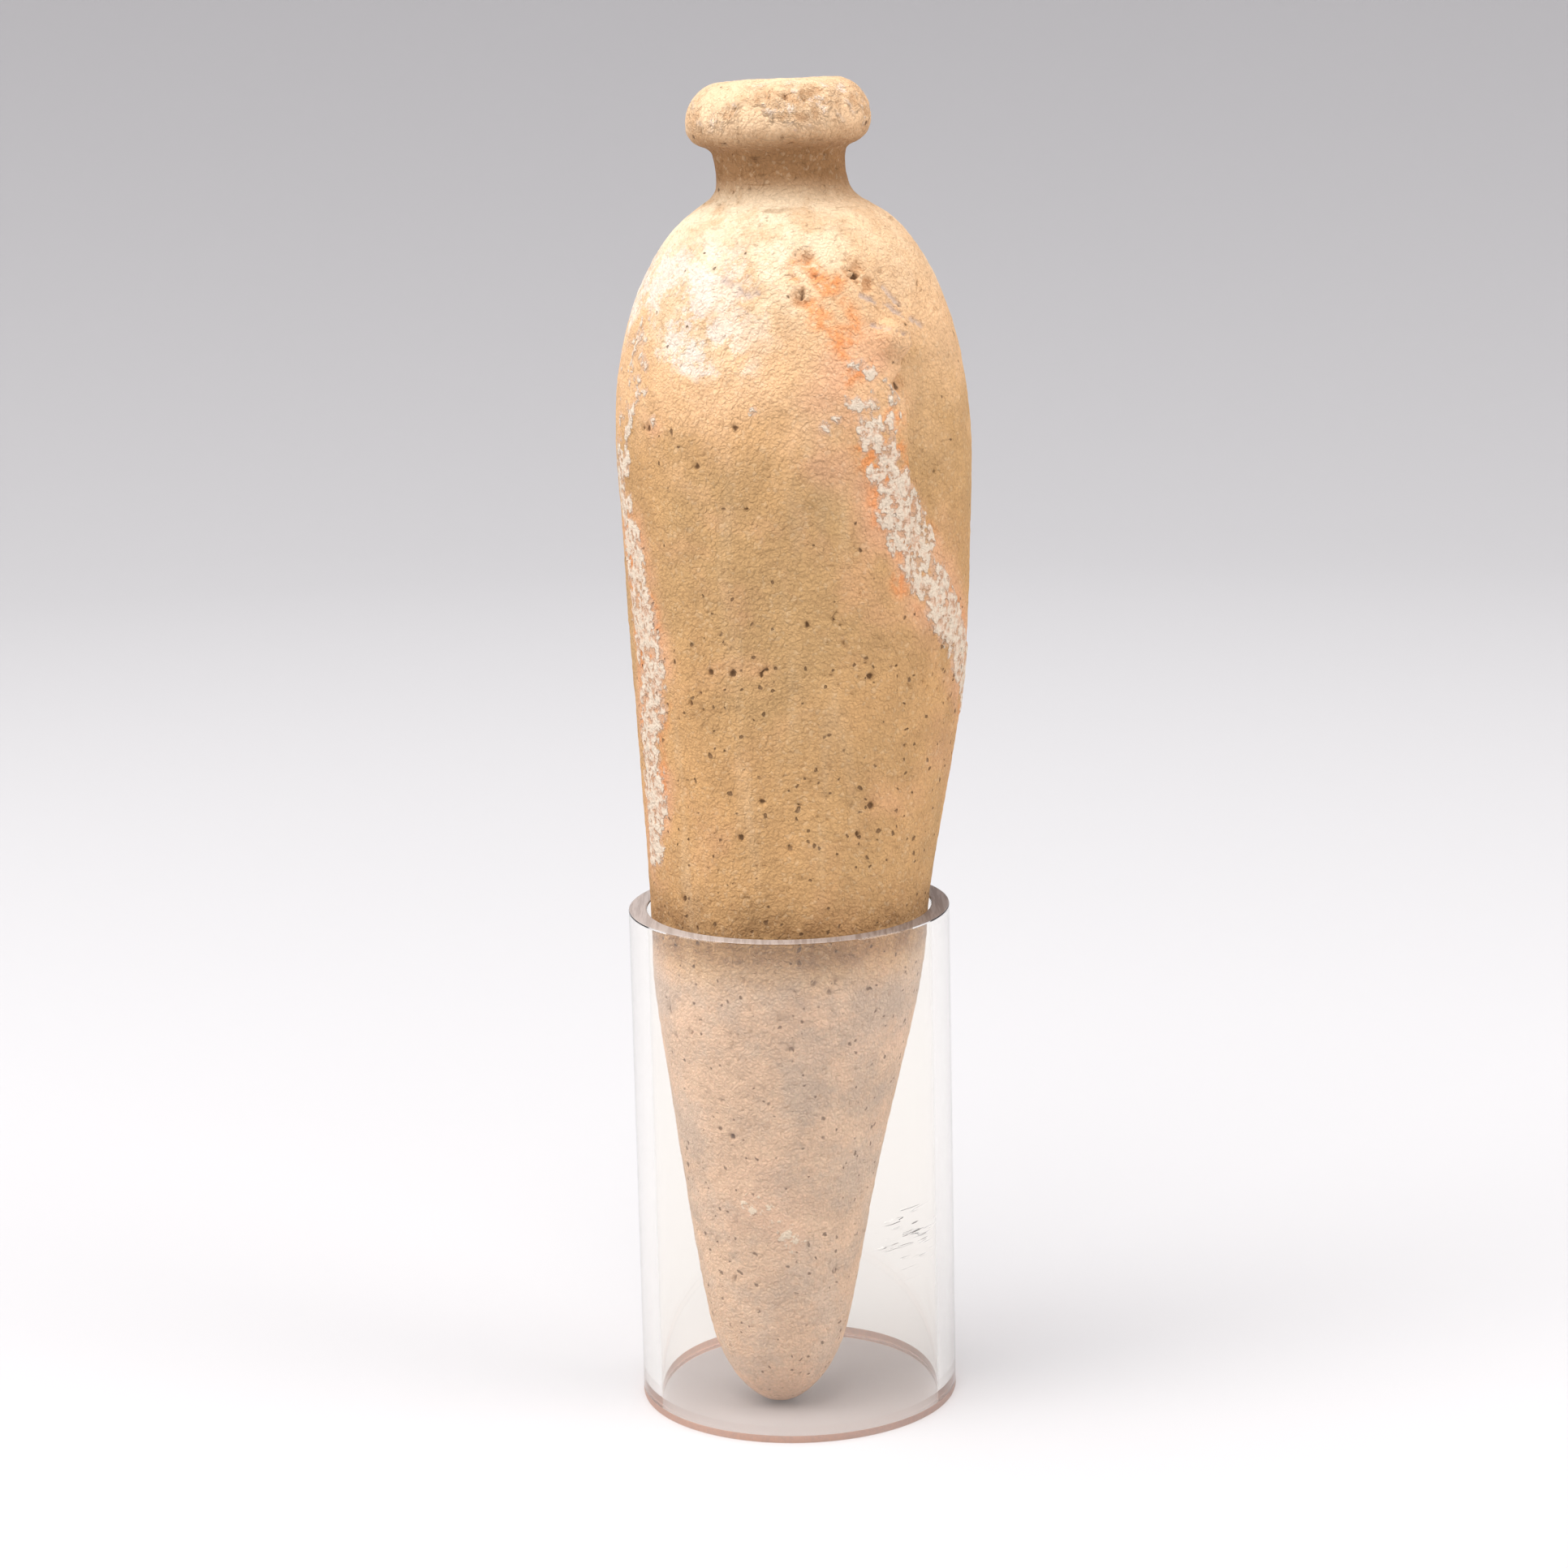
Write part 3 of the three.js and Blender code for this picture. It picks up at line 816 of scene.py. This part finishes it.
# %% Make the clear acrylic
ACRYLIC_IOR = 1.49
ACRYLIC_TINT = (1.0, 0.985, 0.955, 1)
ACRYLIC_ROUGHNESS = 0.02
SHADOW_TINT = (0.90, 0.885, 0.88, 1)
RUBBED_PLACE = tube_axis + Vector((20.5 * MM, -21 * MM, 36 * MM))
RUBBED_INNER = 3 * MM
RUBBED_OUTER = 9 * MM
SCRATCH_DEPTH = 0.1 * MM


def clear_material(name, tint, clearness, roughness):
    """See-through plastic that lets the lamps' light through."""
    material, tree, output = new_material(name)
    values = {"Base Color": tint, "Transmission Weight": clearness, "IOR": ACRYLIC_IOR}
    values["Roughness"] = roughness
    shader = add_node(tree, "BsdfPrincipled", values)
    let_through = add_node(tree, "BsdfTransparent", {"Color": SHADOW_TINT})
    is_shadow = add_node(tree, "LightPath").outputs["Is Shadow Ray"]
    mix = add_node(tree, "MixShader", {0: is_shadow, 1: shader.outputs[0], 2: let_through.outputs[0]})
    tree.links.new(mix.outputs[0], output.inputs["Surface"])
    return material, tree, shader


acrylic, tree, shader = clear_material("clear acrylic", ACRYLIC_TINT, 1.0, ACRYLIC_ROUGHNESS)
place = add_node(tree, "TexCoord").outputs["Object"]
drawn = add_node(tree, "Mapping", {"Vector": place, "Scale": (1, 1, 0.02)})
lines = noise_value(tree, drawn.outputs["Vector"], 1.5 * MM, 2, 0.6)
lines = maths(tree, "MULTIPLY", lines, 0.02)
turned = add_node(tree, "Mapping", {"Vector": place, "Rotation": (0, 0.45, 0), "Scale": (0.12, 0.12, 1)})
rubs = ramp(tree, noise_value(tree, turned.outputs["Vector"], 0.7 * MM, 2, 0.6), 0.58, 0.66)
from_rub = add_node(tree, "VectorMath", {0: place, 1: RUBBED_PLACE}, operation="DISTANCE").outputs["Value"]
rubs = maths(tree, "MULTIPLY", rubs, ramp(tree, from_rub, RUBBED_OUTER, RUBBED_INNER))
lines = maths(tree, "ADD", lines, rubs)
bump = add_node(tree, "Bump", {"Height": lines, "Strength": 1.0, "Distance": SCRATCH_DEPTH})
tree.links.new(bump.outputs["Normal"], shader.inputs["Normal"])
tube.data.materials.append(acrylic)
print("acrylic:", len(tree.nodes), "nodes")

# %% [markdown]
# The saw leaves its cuts frosted, with fine lines across. Both ends need those lines, so they are made once,
# as a node group. It gives out a normal and a shade: painted shade that goes from light on the left to dark on
# the right, with the saw lines a little darker in it.

# %% Draw the saw marks
SAWN_PAINTED_LIGHT = (0.82, 0.72, 0.67, 1)
SAWN_PAINTED_SHADE = (0.30, 0.215, 0.175, 1)
FOOT_PAINTED_REFLECTION = (0.60, 0.36, 0.27, 1)
FOOT_PAINTED_SHADE = (0.46, 0.31, 0.26, 1)
SAWN_ROUGHNESS = 0.45
SAWN_DEPTH = 0.12 * MM
SAW_TURN = 0.5
PAINTED_LIGHT_END = -25 * MM
PAINTED_SHADE_END = 26 * MM

saw_marks = bpy.data.node_groups.new("saw marks", "ShaderNodeTree")
saw_marks.interface.new_socket(name="Depth", in_out="INPUT", socket_type="NodeSocketFloat")
saw_marks.interface.new_socket(name="Normal", in_out="OUTPUT", socket_type="NodeSocketVector")
saw_marks.interface.new_socket(name="Shade", in_out="OUTPUT", socket_type="NodeSocketFloat")
group_in = saw_marks.nodes.new("NodeGroupInput")
group_out = saw_marks.nodes.new("NodeGroupOutput")
place = add_node(saw_marks, "TexCoord").outputs["Object"]
across_cut = {"Vector": place, "Rotation": (0, 0, SAW_TURN), "Scale": (1, 0.06, 1)}
turned = add_node(saw_marks, "Mapping", across_cut)
lines = noise_value(saw_marks, turned.outputs["Vector"], 0.5 * MM, 3, 0.7)
cut = add_node(saw_marks, "Bump", {"Height": lines, "Strength": 1.0, "Distance": group_in.outputs["Depth"]})
saw_marks.links.new(cut.outputs["Normal"], group_out.inputs["Normal"])
from_left = add_node(saw_marks, "SeparateXYZ", {0: place}).outputs["X"]
# painted shade: light on the left of the sawn ends, dark on the right
painted_shade_slope = ramp(saw_marks, from_left, PAINTED_LIGHT_END, PAINTED_SHADE_END, -0.05, 0.75)
shade = maths(saw_marks, "ADD", painted_shade_slope, ramp(saw_marks, lines, 0.42, 0.62, 0.0, 0.4))
saw_marks.links.new(shade, group_out.inputs["Shade"])
print("saw marks:", len(saw_marks.nodes), "nodes")

# %% [markdown]
# The top cut has one material and the lowest band of the outer wall another. Their colours are painted: the
# top cut goes from pale mauve on the left to dark brown on the right, as painted light and shade, and the foot
# band is pink-brown, a painted reflection of the clay seen through the clear edge. Faces get them by where
# they lie and which way they look.

# %% Put the sawn materials on the tube
UPWARD = 0.9

for name, tint, dark, clearness in (
    ("sawn top", SAWN_PAINTED_LIGHT, SAWN_PAINTED_SHADE, 0.4),
    ("sawn foot", FOOT_PAINTED_REFLECTION, FOOT_PAINTED_SHADE, 0.3),
):
    sawn, tree, shader = clear_material(name, tint, clearness, SAWN_ROUGHNESS)
    marks = add_node(tree, "Group", node_tree=saw_marks)
    marks.inputs["Depth"].default_value = SAWN_DEPTH
    tree.links.new(marks.outputs["Normal"], shader.inputs["Normal"])
    # painted light, shade and reflection on the sawn ends
    tone = mix_colour(tree, marks.outputs["Shade"], tint, dark)
    tree.links.new(tone, shader.inputs["Base Color"])
    tube.data.materials.append(sawn)
for face in tube.data.polygons:
    from_axis = (face.center - tube_axis).xy.length
    if face.normal.z > UPWARD:
        face.material_index = 1
    elif face.center.z < FOOT_BAND and from_axis > tube_radius - EDGE_BREAK:
        face.material_index = 2
print("sawn faces:", sum(face.material_index > 0 for face in tube.data.polygons))

# %% [markdown]
# ## Finish
# Each finished piece rides on the model's only body and stands for its solid, which is hidden.

# %% Hand the pieces over
for piece, node, slot in ((flask, FLASK_NODE, "terracotta"), (tube, TUBE_NODE, "clear_acrylic")):
    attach(piece, BODY)
    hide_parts(node)
